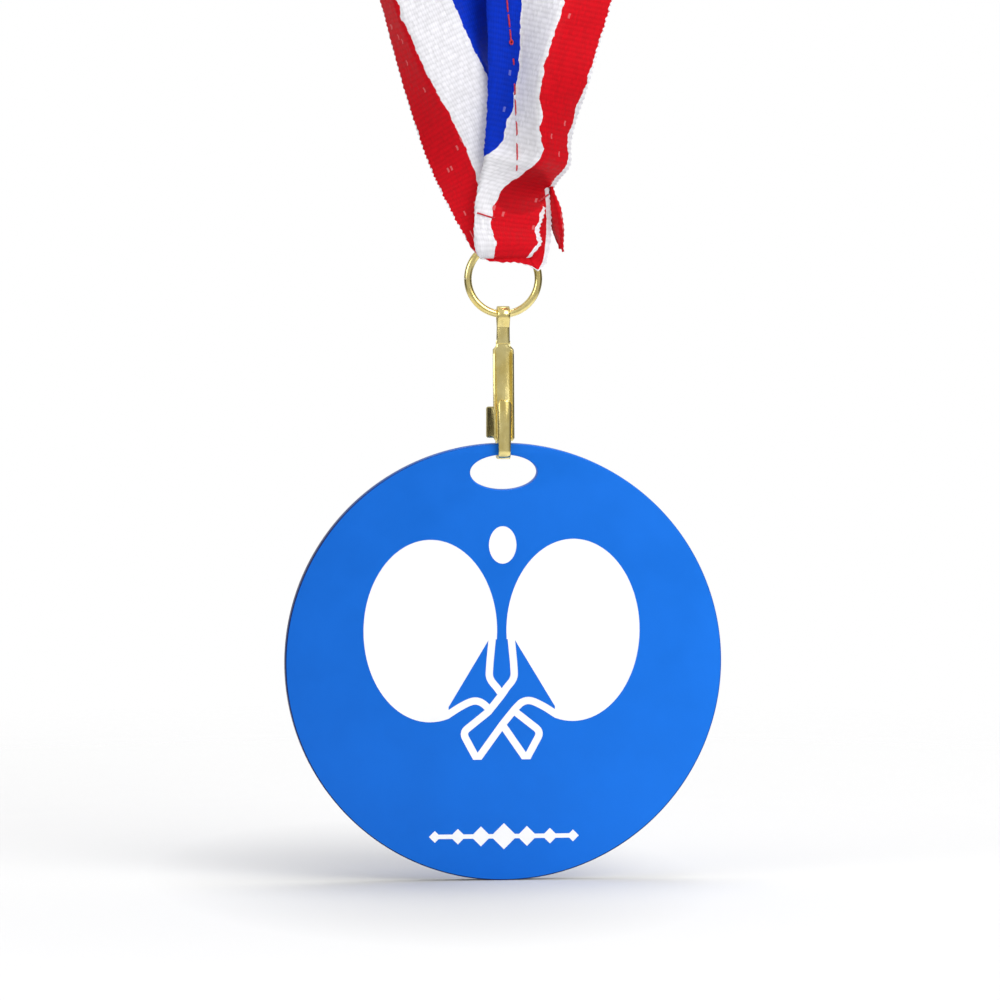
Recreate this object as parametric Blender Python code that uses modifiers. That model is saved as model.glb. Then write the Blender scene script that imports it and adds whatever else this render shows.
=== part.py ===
# A sports medal: a printed blue disc on a brass snap hook, a jump ring and a striped neck ribbon.
# Metres, +Z up. The face looks along -Y, and the origin is the middle of the disc's back face.
import math

import bmesh
import bpy
from mathutils import Matrix, Vector

MM = 0.001

# Disc
DISC_RADIUS = 35.0 * MM
DISC_THICKNESS = 2.5 * MM
DISC_EDGE = 0.25 * MM
DISC_SIDES = 128
HOLE_HALF_WIDTH = 5.4 * MM
HOLE_HALF_HEIGHT = 2.8 * MM
HOLE_HEIGHT = 30.4 * MM
HOLE_SIDES = 48
MID_Y = -DISC_THICKNESS / 2  # everything hangs in this plane

# Print on the face
PRINT_THICKNESS = 0.15 * MM
PRINT_GAP = 0.03 * MM
EMBLEM_SHIFT = -0.35 * MM
STROKE = 1.16 * MM
GRIP_CORNER = 1.0 * MM
BLADE_CENTRE = (11.45 * MM, 5.1 * MM)
BLADE_HALF = (10.7 * MM, 14.6 * MM)
BLADE_ARC = (-5.5, 286.0)
BLADE_CHORD = ((8.55 * MM, -7.1 * MM), (2.05 * MM, 3.7 * MM))
BALL_CENTRE = (-0.2 * MM, 18.8 * MM)
BALL_HALF = (2.2 * MM, 3.0 * MM)
BORDER_HEIGHT = -27.9 * MM
BORDER_BAR = 0.7 * MM
BORDER_PITCH = 3.7 * MM
LOZENGE_HALVES = (2.1 * MM, 1.6 * MM, 1.25 * MM, 0.95 * MM)  # from the middle one outwards

# Snap hook, bent from one strip of brass
STRIP_WIDTH = 2.0 * MM
STRIP_THICKNESS = 0.45 * MM
HOOK_FLOOR = 32.95 * MM  # the disc hangs just above this
HOOK_HALF = 2.0 * MM
HOOK_CORNER = 1.0 * MM
NOSE_TOP = 42.0 * MM
NOSE_WIDTH = 2.2 * MM
LEG_TOP = 44.0 * MM
CREASE = (0.28 * MM, 53.6 * MM)
EYE_HEIGHT = 55.45 * MM
EYE_RADIUS = 1.2 * MM
FLAP_END = (0.66 * MM, 50.9 * MM)

# Spring gate of the hook
GATE_PIVOT = (0.05 * MM, 51.3 * MM)
GATE_BEAD = 0.3 * MM
GATE_TONGUE = 2.0 * MM
GATE_WIDTH = 3.0 * MM
GATE_THICKNESS = 0.3 * MM
GATE_FLANGE = 0.75 * MM
GATE_FOOT = (-0.9 * MM, 35.45 * MM)
TAB_SIZE = (1.5 * MM, 0.9 * MM, 5.0 * MM)
TAB_HEIGHT = 38.4 * MM

# Jump ring
RING_HEIGHT = 61.25 * MM
RING_RADIUS = 5.65 * MM
WIRE_RADIUS = 0.62 * MM
RING_SPLIT = 0.15 * MM
RING_POINTS = 60

# Ribbon
RIBBON_WIDTH = 25.0 * MM
RIBBON_THICKNESS = 0.8 * MM
PIECE_GAP = 0.3 * MM
LOOP_HEIGHT = 66.2 * MM  # the ring swings about this height
LOOP_RADIUS = 2.3 * MM
LOOP_WIDTH = 8.0 * MM
LOOP_TOP = 71.9 * MM
ARCH_HEIGHT = 399.0 * MM
ARCH_RADIUS = 55.0 * MM
TWIST_FROM = 115.0 * MM
TWIST_TO = 345.0 * MM
# centre of each strand: across, in front (-) or behind (+), up
FRONT_STRAND = (
    (0.3, -2.6, 73.2),
    (2.0, -2.6, 80.0),
    (4.9, -2.6, 92.0),
    (7.2, -2.6, 106.0),
    (13.0, -2.2, 140.0),
    (21.5, -1.2, 190.0),
    (34.0, 0.0, 255.0),
    (46.0, 0.0, 320.0),
    (53.5, 0.0, 375.0),
    (55.0, 0.0, 399.0),
)
BACK_STRAND = (
    (-1.5, 2.6, 73.2),
    (-4.0, 2.6, 86.0),
    (-9.3, 2.6, 106.0),
    (-17.0, 2.2, 132.0),
    (-26.0, 1.6, 165.0),
    (-36.0, 0.6, 215.0),
    (-45.5, 0.0, 275.0),
    (-52.5, 0.0, 345.0),
    (-55.0, 0.0, 399.0),
)
# width of a gathered strand at each height
GATHER = ((72.0, 8.5), (86.0, 14.0), (106.0, 19.0), (130.0, 23.0), (155.0, 25.0))
STRAND_ROWS = 56
ARCH_ROWS = 28
TAIL_TOP = (8.2 * MM, 74.4 * MM)
TAIL_END = (9.2 * MM, 65.8 * MM)
TAIL_DEPTH = (-3.6 * MM, 1.0 * MM)

# Threads
THREAD_RADIUS = 0.2 * MM
SEAM = ((2.2, 78.8), (2.1, 86.0), (1.6, 96.0), (0.9, 104.0), (0.4, 112.0))
CINCH_HEIGHT = 71.1 * MM
CINCH_CORNER = 0.45 * MM


def clear_scene():
    for thing in list(bpy.data.objects):
        bpy.data.objects.remove(thing, do_unlink=True)


def make_collection(name):
    collection = bpy.data.collections.new(name)
    bpy.context.scene.collection.children.link(collection)
    return collection


def make_material(name, colour, metallic, roughness):
    material = bpy.data.materials.new(name)
    material.use_nodes = True
    shader = material.node_tree.nodes["Principled BSDF"]
    shader.inputs["Base Color"].default_value = (*colour, 1.0)
    shader.inputs["Metallic"].default_value = metallic
    shader.inputs["Roughness"].default_value = roughness
    return material


def add_object(name, data, collection, material=None):
    thing = bpy.data.objects.new(name, data)
    collection.objects.link(thing)
    if material:
        data.materials.append(material)
    return thing


def hide_cutter(thing):
    thing.hide_render = True
    thing.display_type = "WIRE"


def join_shape(thing, other, operation):
    change = thing.modifiers.new(operation.title(), "BOOLEAN")
    change.operation = operation
    change.solver = "EXACT"
    change.object = other
    hide_cutter(other)


def round_edges(thing, width, segments=2):
    bevel = thing.modifiers.new("Bevel", "BEVEL")
    bevel.width = width
    bevel.segments = segments
    bevel.limit_method = "ANGLE"


def shade_round(thing):
    thing.data.shade_smooth()
    thing.data.set_sharp_from_angle(angle=math.radians(35))


def smooth_curve(points, steps):
    # Catmull-Rom through every point
    ends = [2 * points[0] - points[1], *points, 2 * points[-1] - points[-2]]
    curve = []
    for a, b, c, d in zip(ends, ends[1:], ends[2:], ends[3:]):
        for i in range(steps):
            t = i / steps
            lead = 2 * b + (c - a) * t
            rest = (2 * a - 5 * b + 4 * c - d) * t**2 + (3 * b - a - 3 * c + d) * t**3
            curve.append((lead + rest) / 2)
    return curve + [points[-1]]


def even_steps(curve, count):
    # points at equal distances along a curve
    reach = [0.0]
    for a, b in zip(curve, curve[1:]):
        reach.append(reach[-1] + (b - a).length)
    spaced = []
    k = 0
    for i in range(count):
        want = reach[-1] * i / (count - 1)
        while k < len(reach) - 2 and reach[k + 1] < want:
            k += 1
        share = (want - reach[k]) / (reach[k + 1] - reach[k])
        spaced.append(curve[k].lerp(curve[k + 1], share))
    return spaced


def make_strip(name, rows, thickness, collection, material):
    # a sheet through rows of points, given its thickness evenly on both sides
    mesh = bpy.data.meshes.new(name)
    shape = bmesh.new()
    grid = [[shape.verts.new(point) for point in row] for row in rows]
    for low, high in zip(grid, grid[1:]):
        for i in range(len(low) - 1):
            shape.faces.new((low[i], low[i + 1], high[i + 1], high[i]))
    bmesh.ops.recalc_face_normals(shape, faces=shape.faces)
    shape.to_mesh(mesh)
    shape.free()
    thing = add_object(name, mesh, collection, material)
    wall = thing.modifiers.new("Solidify", "SOLIDIFY")
    wall.thickness = thickness
    wall.offset = 0.0
    wall.use_even_offset = True
    return thing


def make_wire(name, points, radius, cyclic, collection, material):
    curve = bpy.data.curves.new(name, "CURVE")
    curve.dimensions = "3D"
    curve.bevel_depth = radius
    curve.bevel_resolution = 2
    curve.use_fill_caps = True
    spline = curve.splines.new("POLY")
    spline.points.add(len(points) - 1)
    for slot, point in zip(spline.points, points):
        slot.co = (*point, 1.0)
    spline.use_cyclic_u = cyclic
    return add_object(name, curve, collection, material)


def make_plate(name, outline, collection, material=None):
    # a flat print: the outline is (across, up), facing -Y
    curve = bpy.data.curves.new(name, "CURVE")
    curve.dimensions = "2D"
    curve.fill_mode = "BOTH"
    curve.extrude = PRINT_THICKNESS / 2
    spline = curve.splines.new("POLY")
    spline.points.add(len(outline) - 1)
    for slot, (across, up) in zip(spline.points, outline):
        slot.co = (across, up, 0.0, 1.0)
    spline.use_cyclic_u = True
    thing = add_object(name, curve, collection, material)
    thing.matrix_world = Matrix.Translation((0.0, print_y(), 0.0)) @ Matrix.Rotation(math.pi / 2, 4, "X")
    return thing


def as_mesh(thing):
    # a curve object as a closed mesh in the same place, so that it can be joined or cut
    bpy.context.view_layer.update()
    evaluated = thing.evaluated_get(bpy.context.evaluated_depsgraph_get())
    mesh = bpy.data.meshes.new_from_object(evaluated)
    mesh.transform(thing.matrix_world)
    shape = bmesh.new()
    shape.from_mesh(mesh)
    bmesh.ops.remove_doubles(shape, verts=shape.verts, dist=0.001 * MM)
    bmesh.ops.recalc_face_normals(shape, faces=shape.faces)
    shape.to_mesh(mesh)
    shape.free()
    name = thing.name
    collection = thing.users_collection[0]
    bpy.data.objects.remove(thing, do_unlink=True)
    return add_object(name, mesh, collection)


def print_y():
    return -DISC_THICKNESS - PRINT_GAP - PRINT_THICKNESS / 2


def make_disc(parts, cutters, material):
    bpy.ops.mesh.primitive_cylinder_add(
        vertices=DISC_SIDES,
        radius=DISC_RADIUS,
        depth=DISC_THICKNESS,
        location=(0.0, MID_Y, 0.0),
        rotation=(math.pi / 2, 0.0, 0.0),
    )
    disc = take_active("medal_disc", parts, material)
    bpy.ops.mesh.primitive_cylinder_add(
        vertices=HOLE_SIDES,
        radius=1.0,
        depth=4 * DISC_THICKNESS,
        location=(0.0, MID_Y, HOLE_HEIGHT),
        rotation=(math.pi / 2, 0.0, 0.0),
    )
    hole = take_active("hole_cutter", cutters)
    hole.data.transform(Matrix.Diagonal((HOLE_HALF_WIDTH, HOLE_HALF_HEIGHT, 1.0, 1.0)))
    join_shape(disc, hole, "DIFFERENCE")
    round_edges(disc, DISC_EDGE)
    shade_round(disc)


def take_active(name, collection, material=None):
    # names the new primitive and moves it to its collection
    thing = bpy.context.active_object
    thing.name = name
    thing.data.name = name
    for owner in list(thing.users_collection):
        owner.objects.unlink(thing)
    collection.objects.link(thing)
    if material:
        thing.data.materials.append(material)
    return thing


def stroke_rows(points):
    # two points across the stroke at each point of its middle line, mitred at the corners
    rows = []
    for i, point in enumerate(points):
        back = (point - points[i - 1]).normalized() if i else (points[1] - point).normalized()
        ahead = (points[i + 1] - point).normalized() if i < len(points) - 1 else back
        across = Vector((-(back.z + ahead.z), 0.0, back.x + ahead.x)).normalized()
        mitre = max(across.dot(Vector((-ahead.z, 0.0, ahead.x))), 0.5)
        reach = across * STROKE / 2 / mitre
        rows.append((point - reach, point + reach))
    return rows


def round_corner(before, corner, after, cut, steps=5):
    # a curve in place of a corner, leaving its two lines "cut" away from it
    first = corner + (before - corner).normalized() * cut
    last = corner + (after - corner).normalized() * cut
    shares = [k / steps for k in range(steps + 1)]
    return [first * (1 - t) ** 2 + corner * 2 * t * (1 - t) + last * t**2 for t in shares]


def emblem_points(places, side=1):
    return [Vector((side * x * MM + EMBLEM_SHIFT, print_y(), z * MM)) for x, z in places]


def blade_outline(side):
    outline = []
    steps = 72
    start, stop = (math.radians(angle) for angle in BLADE_ARC)
    for i in range(steps + 1):
        angle = start + (stop - start) * i / steps
        across = -BLADE_CENTRE[0] + BLADE_HALF[0] * math.cos(angle)
        up = BLADE_CENTRE[1] + BLADE_HALF[1] * math.sin(angle)
        outline.append((-side * across + EMBLEM_SHIFT, up))
    for across, up in BLADE_CHORD:
        outline.append((side * across + EMBLEM_SHIFT, up))
    return outline


def make_rackets(parts, cutters, material):
    # two crossed rackets, the right one in front, as one continuous layer of print
    neck = ((1.45, 4.6), (1.95, -0.8), (1.85, -2.6), (0.75, -4.1), (-0.15, -5.4), (-2.15, -7.9))
    grip = ((-6.3, -11.2), (-4.25, -15.0), (-3.55, -15.0), (0.15, -9.9), (2.1, -7.5))
    root = ((2.1, -7.5), (3.3, -6.4), (4.7, -6.2), (6.7, -7.1), (8.9, -8.5))
    front_grip = round_corner(*emblem_points((neck[-1], *grip[:2])), GRIP_CORNER) + emblem_points(grip[1:-1])
    front = smooth_curve(emblem_points(neck), 4) + front_grip + smooth_curve(emblem_points(root), 4)
    hidden_neck = smooth_curve(emblem_points(neck[:4] + ((0.1, -5.0),), -1), 4)
    hidden_line = emblem_points(((-2.0, -7.8), *grip[:3], (-0.3, -10.3)), -1)
    hidden_grip = hidden_line[:1] + round_corner(*hidden_line[:3], GRIP_CORNER) + hidden_line[2:]
    hidden_root = smooth_curve(emblem_points(((2.05, -7.45), *root[1:]), -1), 4)
    rackets = as_mesh(make_plate("rackets_print", blade_outline(1), parts))
    rackets.data.materials.append(material)
    shapes = [as_mesh(make_plate("left_blade", blade_outline(-1), cutters))]
    for name, line in (
        ("front_line", front),
        ("hidden_neck", hidden_neck),
        ("hidden_grip", hidden_grip),
        ("hidden_root", hidden_root),
    ):
        shapes.append(make_strip(name, stroke_rows(line), PRINT_THICKNESS, cutters, None))
    for shape in shapes:
        join_shape(rackets, shape, "UNION")


def make_ball(parts, material):
    steps = 40
    outline = []
    for i in range(steps):
        angle = 2 * math.pi * i / steps
        outline.append(
            (BALL_CENTRE[0] + BALL_HALF[0] * math.cos(angle), BALL_CENTRE[1] + BALL_HALF[1] * math.sin(angle))
        )
    make_plate("ball_print", outline, parts, material)


def make_border(parts, material):
    # a chain of lozenges on a bar, largest in the middle
    upper = []
    count = len(LOZENGE_HALVES)
    for k in range(1 - count, count):
        half = LOZENGE_HALVES[abs(k)]
        centre = k * BORDER_PITCH
        foot = half - BORDER_BAR / 2
        upper += [(centre - foot, BORDER_BAR / 2), (centre, half), (centre + foot, BORDER_BAR / 2)]
    lower = [(across, -up) for across, up in reversed(upper)]
    tip = (count - 1) * BORDER_PITCH + LOZENGE_HALVES[-1]
    outline = [(-tip, 0.0), *upper, (tip, 0.0), *lower]
    make_plate("border_print", [(x, z + BORDER_HEIGHT) for x, z in outline], parts, material)


def arc(centre, radius, start, stop, steps):
    # points (Y, Z) round a centre, angles in degrees
    points = []
    for i in range(steps + 1):
        angle = math.radians(start + (stop - start) * i / steps)
        points.append((centre[0] + radius * math.cos(angle), centre[1] + radius * math.sin(angle)))
    return points


def hook_line():
    # the strip's middle line from the tip of the nose round to the end of the flap
    half = HOOK_HALF + STRIP_THICKNESS / 2
    bend = HOOK_CORNER + STRIP_THICKNESS / 2
    inset = HOOK_HALF - HOOK_CORNER
    bend_height = HOOK_FLOOR + HOOK_CORNER
    nose = [(-half, NOSE_TOP - step * MM) for step in (0.0, 0.15, 0.45, 0.9, 1.4)]
    nose.append((-half, bend_height + 0.8 * MM))
    floor = arc((-inset, bend_height), bend, 180, 270, 7) + arc((inset, bend_height), bend, 270, 360, 7)
    reach = math.hypot(CREASE[0], EYE_HEIGHT - CREASE[1])
    lean = math.degrees(math.atan2(CREASE[1] - EYE_HEIGHT, CREASE[0]) + math.acos(EYE_RADIUS / reach))
    eye = arc((0.0, EYE_HEIGHT), EYE_RADIUS, lean, 180 - lean, 22)
    leg = [(half, LEG_TOP), CREASE]
    flap = [(-CREASE[0], CREASE[1]), (-FLAP_END[0], FLAP_END[1])]
    return nose + floor + leg + eye + flap


def make_hook(parts, material):
    nose_taper = {0: 0.5, 1: 0.75, 2: 0.92, 3: 1.0, 4: 1.0}
    rows = []
    for i, (across, up) in enumerate(hook_line()):
        width = NOSE_WIDTH * nose_taper[i] if i in nose_taper else STRIP_WIDTH
        rows.append([Vector((side * width / 2, MID_Y + across, up)) for side in (-1, 1)])
    hook = make_strip("snap_hook", rows, STRIP_THICKNESS, parts, material)
    round_edges(hook, 0.1 * MM)
    shade_round(hook)


def make_gate(parts, cutters, material):
    # a channel-shaped spring leaf hung on a rolled bead behind the end of the flap
    def web_y(height):
        share = (GATE_PIVOT[1] - height) / (GATE_PIVOT[1] - GATE_FOOT[1])
        return MID_Y + GATE_PIVOT[0] + (GATE_FOOT[0] - GATE_PIVOT[0]) * share

    shoulder = GATE_PIVOT[1] - 0.8 * MM
    rows = []
    for height, half, flange in (
        (GATE_PIVOT[1], GATE_TONGUE / 2, 0.02 * MM),
        (shoulder, GATE_TONGUE / 2, 0.02 * MM),
        (shoulder - 0.6 * MM, GATE_WIDTH / 2, 0.3 * MM),
        (shoulder - 1.2 * MM, GATE_WIDTH / 2, GATE_FLANGE),
        (GATE_FOOT[1] + 0.5 * MM, GATE_WIDTH / 2, GATE_FLANGE),
        (GATE_FOOT[1], GATE_WIDTH / 2 - 0.3 * MM, GATE_FLANGE * 0.8),
    ):
        web = web_y(height)
        profile = ((-half, web - flange), (-half, web), (half, web), (half, web - flange))
        rows.append([Vector((across, depth, height)) for across, depth in profile])
    gate = make_strip("gate_leaf", rows, GATE_THICKNESS, parts, material)
    bpy.ops.mesh.primitive_cylinder_add(
        vertices=20,
        radius=GATE_BEAD,
        depth=GATE_TONGUE + 0.1 * MM,
        location=(0.0, MID_Y + GATE_PIVOT[0], GATE_PIVOT[1]),
        rotation=(0.0, math.pi / 2, 0.0),
    )
    join_shape(gate, take_active("gate_bead", cutters), "UNION")
    bpy.ops.mesh.primitive_cube_add(
        size=1.0, location=(-GATE_WIDTH / 2 - TAB_SIZE[0] / 2 + 0.2 * MM, web_y(TAB_HEIGHT), TAB_HEIGHT)
    )
    tab = take_active("thumb_tab", cutters)
    tab.data.transform(Matrix.Diagonal((*TAB_SIZE, 1.0)))
    round_edges(tab, 0.35 * MM, 3)
    join_shape(gate, tab, "UNION")
    shade_round(gate)


def make_ring(parts, material):
    # wire bent round from one butt end to the other, the split at the left
    split = RING_SPLIT / RING_RADIUS / 2
    points = []
    for i in range(RING_POINTS):
        angle = math.pi + split + (2 * math.pi - 2 * split) * i / (RING_POINTS - 1)
        across = RING_RADIUS * math.cos(angle)
        points.append(Vector((across, MID_Y, RING_HEIGHT + RING_RADIUS * math.sin(angle))))
    make_wire("jump_ring", points, WIRE_RADIUS, False, parts, material)


def gathered_width(height):
    low = GATHER[0]
    for high in GATHER[1:]:
        if height < high[0] * MM:
            share = (height / MM - low[0]) / (high[0] - low[0])
            return (low[1] + (high[1] - low[1]) * max(share, 0.0)) * MM
        low = high
    return RIBBON_WIDTH


def twist_at(height):
    share = min(max((height - TWIST_FROM) / (TWIST_TO - TWIST_FROM), 0.0), 1.0)
    return math.pi / 2 * share * share * (3 - 2 * share)


def strand_rows(places, side):
    # rows run from the inner edge to the outer edge, which turns to the back as the strand rises
    points = [Vector((x * MM, MID_Y + y * MM, z * MM)) for x, y, z in places]
    line = even_steps(smooth_curve(points, 12), STRAND_ROWS)
    rows = []
    for i, point in enumerate(line):
        along = (line[min(i + 1, len(line) - 1)] - line[max(i - 1, 0)]).normalized()
        out = Vector((along.z, 0.0, -along.x)).normalized() * side
        twist = twist_at(point.z)
        half = (out * math.cos(twist) + Vector((0.0, math.sin(twist), 0.0))) * gathered_width(point.z) / 2
        rows.append((point - half, point, point + half))
    return rows


def make_strands(parts, material):
    make_strip("ribbon_front_strand", strand_rows(FRONT_STRAND, 1), RIBBON_THICKNESS, parts, material)
    make_strip("ribbon_back_strand", strand_rows(BACK_STRAND, -1), RIBBON_THICKNESS, parts, material)


def make_arch(parts, material):
    # the part that lies over the neck, standing clear of both strands by a small gap
    half = Vector((0.0, RIBBON_WIDTH / 2, 0.0))
    lift = PIECE_GAP / ARCH_RADIUS
    rows = []
    for i in range(ARCH_ROWS):
        angle = lift + (math.pi - 2 * lift) * i / (ARCH_ROWS - 1)
        radial = Vector((math.cos(angle), 0.0, math.sin(angle)))
        point = Vector((0.0, MID_Y, ARCH_HEIGHT)) + radial * ARCH_RADIUS
        rows.append((point - half, point, point + half))
    make_strip("ribbon_neck_arch", rows, RIBBON_THICKNESS, parts, material)


def make_loop(parts, material):
    # the fold of ribbon that passes through the ring
    line = [(-LOOP_RADIUS, LOOP_TOP)]
    line += arc((0.0, LOOP_HEIGHT), LOOP_RADIUS, 180, 360, 16)
    line.append((LOOP_RADIUS, LOOP_TOP))
    rows = [[Vector((side * LOOP_WIDTH / 2, MID_Y + y, z)) for side in (-1, 1)] for y, z in line]
    make_strip("ribbon_ring_loop", rows, RIBBON_THICKNESS, parts, material)


def make_tail(parts, material):
    # the cut end of the ribbon, left hanging beside the fold
    rows = []
    for across, up in (TAIL_TOP, TAIL_END):
        rows.append([Vector((across, MID_Y + depth, up)) for depth in TAIL_DEPTH])
    make_strip("ribbon_tail", rows, RIBBON_THICKNESS, parts, material)


def make_seam(parts, material):
    # the line of thread down the face of the front strand
    face = MID_Y + FRONT_STRAND[0][1] * MM - RIBBON_THICKNESS / 2 - THREAD_RADIUS - 0.15 * MM
    points = smooth_curve([Vector((x * MM, face, z * MM)) for x, z in SEAM], 4)
    make_wire("seam_thread", points, THREAD_RADIUS, False, parts, material)


def make_cinch(parts, material):
    # the thread wound round both layers just above the ring
    clear = THREAD_RADIUS + 0.15 * MM
    half_x = LOOP_WIDTH / 2 + clear
    half_y = LOOP_RADIUS + RIBBON_THICKNESS / 2 + clear
    points = []
    for quarter, (across, deep) in enumerate(((1, 1), (-1, 1), (-1, -1), (1, -1))):
        centre = (across * (half_x - CINCH_CORNER), MID_Y + deep * (half_y - CINCH_CORNER))
        for x, y in arc(centre, CINCH_CORNER, quarter * 90, quarter * 90 + 90, 4):
            points.append(Vector((x, y, CINCH_HEIGHT)))
    make_wire("cinch_thread", points, THREAD_RADIUS, True, parts, material)


def main():
    clear_scene()
    parts = make_collection("medal")
    cutters = make_collection("medal_cutters")
    blue = make_material("anodised blue", (0.007, 0.155, 0.68), 0.6, 0.35)
    white = make_material("white print", (0.93, 0.93, 0.93), 0.0, 0.5)
    brass = make_material("brass", (0.72, 0.55, 0.2), 1.0, 0.25)
    cloth = make_material("ribbon", (0.6, 0.02, 0.04), 0.0, 0.7)
    thread = make_material("red thread", (0.55, 0.02, 0.03), 0.0, 0.6)
    make_disc(parts, cutters, blue)
    make_rackets(parts, cutters, white)
    make_ball(parts, white)
    make_border(parts, white)
    make_hook(parts, brass)
    make_gate(parts, cutters, brass)
    make_ring(parts, brass)
    make_strands(parts, cloth)
    make_arch(parts, cloth)
    make_loop(parts, cloth)
    make_tail(parts, cloth)
    make_seam(parts, thread)
    make_cinch(parts, thread)


main()
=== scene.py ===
import math

import bmesh
import bpy
import numpy as np
from mathutils import Matrix, Vector
from mathutils.bvhtree import BVHTree


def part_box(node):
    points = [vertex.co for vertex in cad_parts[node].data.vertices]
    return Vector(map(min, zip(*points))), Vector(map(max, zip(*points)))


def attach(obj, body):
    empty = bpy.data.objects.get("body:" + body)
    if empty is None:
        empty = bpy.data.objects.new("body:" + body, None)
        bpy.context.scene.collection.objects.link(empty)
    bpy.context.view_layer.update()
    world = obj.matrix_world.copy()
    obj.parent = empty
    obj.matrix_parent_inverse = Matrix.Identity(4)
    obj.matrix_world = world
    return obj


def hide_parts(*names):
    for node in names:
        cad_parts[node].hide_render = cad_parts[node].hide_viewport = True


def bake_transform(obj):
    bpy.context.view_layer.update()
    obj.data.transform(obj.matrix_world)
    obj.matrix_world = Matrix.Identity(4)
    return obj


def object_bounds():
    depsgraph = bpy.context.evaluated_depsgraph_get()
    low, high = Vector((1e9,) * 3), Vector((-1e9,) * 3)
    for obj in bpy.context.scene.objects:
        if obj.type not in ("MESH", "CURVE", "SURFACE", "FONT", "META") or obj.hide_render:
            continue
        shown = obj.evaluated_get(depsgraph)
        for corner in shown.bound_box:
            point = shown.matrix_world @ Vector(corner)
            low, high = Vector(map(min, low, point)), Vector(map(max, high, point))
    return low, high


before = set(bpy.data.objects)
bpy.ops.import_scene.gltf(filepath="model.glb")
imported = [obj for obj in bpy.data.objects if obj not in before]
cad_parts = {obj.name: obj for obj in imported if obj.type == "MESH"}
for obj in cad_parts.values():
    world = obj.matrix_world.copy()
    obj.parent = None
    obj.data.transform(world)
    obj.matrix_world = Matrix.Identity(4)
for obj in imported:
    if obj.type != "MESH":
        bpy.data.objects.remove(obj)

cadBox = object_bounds()
mm = 0.001
scene = bpy.context.scene
discLow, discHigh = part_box("medal_disc")
midY = (discLow.y + discHigh.y) / 2  # everything hangs in this plane


# camera, light and floor

camera = {"target": (-0.5, 25.9), "azimuth": -6.0, "elevation": 4.0, "distance": 1330.0, "lens": 300.0}
studio = {
    "floorSize": 3.0,
    "floorGrey": 0.51,
    "floorGlow": 0.26,
    "shadeReach": 0.045,
    "shadeStretch": (1.0, 0.5, 0.0),
    "shadeShift": (0.012, 0.0, 0.0),
    "floorClear": (0.13, 0.30),
    "skyTop": 0.90,
    "skyLow": 0.68,
    "skyRise": (-0.2, 0.8),
    "skyFront": 0.90,
    "frontSpan": (-0.95, -0.45),
    "skySide": 0.10,
    "sideSpan": (0.70, 0.96),
    "lampAim": 0.03,
    "keyPlace": (0.55, -0.75, 0.62),
    "keySize": 0.8,
    "keyPower": 6.8,
    "fillPlace": (-0.85, -0.45, 0.30),
    "fillSize": 0.5,
    "fillPower": 2.0,
    "topPlace": (0.05, 0.10, 1.1),
    "topSize": 0.8,
    "topPower": 8.0,
}


def makeCamera():
    data = bpy.data.cameras.new("camera")
    data.lens = camera["lens"]
    data.clip_start = 0.01
    view = bpy.data.objects.new("camera", data)
    scene.collection.objects.link(view)
    scene.camera = view
    target = Vector((camera["target"][0] * mm, midY, camera["target"][1] * mm))
    around = math.radians(camera["azimuth"])
    rise = math.radians(camera["elevation"])
    away = Vector((math.sin(around) * math.cos(rise), -math.cos(around) * math.cos(rise), math.sin(rise)))
    view.location = target + away * camera["distance"] * mm
    view.rotation_euler = (-away).to_track_quat("-Z", "Y").to_euler()


def makeWorld():
    # white where the camera looks; what lights the pieces is softer, and dimmer in front and at the sides
    world = bpy.data.worlds.new("studio")
    scene.world = world
    world.use_nodes = True
    tree = world.node_tree
    tree.nodes.clear()
    split = addNode(tree, "SeparateXYZ")
    tree.links.new(addNode(tree, "TexCoord").outputs["Generated"], split.inputs[0])
    rise = rangeNode(tree, split.outputs["Z"], *studio["skyRise"], studio["skyLow"], studio["skyTop"])
    front = rangeNode(tree, split.outputs["Y"], *studio["frontSpan"], studio["skyFront"], 1.0)
    sideways = mathNode(tree, "ABSOLUTE", split.outputs["X"])
    side = rangeNode(tree, sideways, *studio["sideSpan"], 1.0, studio["skySide"])
    seen = addNode(tree, "Background")
    setInput(seen, "Color", (1, 1, 1, 1))
    lit = addNode(tree, "Background")
    strength = mathNode(tree, "MULTIPLY", mathNode(tree, "MULTIPLY", rise, front), side)
    tree.links.new(strength, lit.inputs["Strength"])
    mix = addNode(tree, "MixShader")
    tree.links.new(addNode(tree, "LightPath").outputs["Is Camera Ray"], mix.inputs["Fac"])
    tree.links.new(lit.outputs["Background"], mix.inputs[1])
    tree.links.new(seen.outputs["Background"], mix.inputs[2])
    tree.links.new(mix.outputs["Shader"], addNode(tree, "OutputWorld").inputs["Surface"])


def makeLamp(name):
    data = bpy.data.lights.new(name, "AREA")
    data.shape = "DISK"
    data.size = studio[name + "Size"]
    data.energy = studio[name + "Power"]
    lamp = bpy.data.objects.new(name, data)
    scene.collection.objects.link(lamp)
    lamp.location = studio[name + "Place"]
    aim = Vector((0, midY, studio["lampAim"]))
    lamp.rotation_euler = (aim - lamp.location).to_track_quat("-Z", "Y").to_euler()


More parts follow.
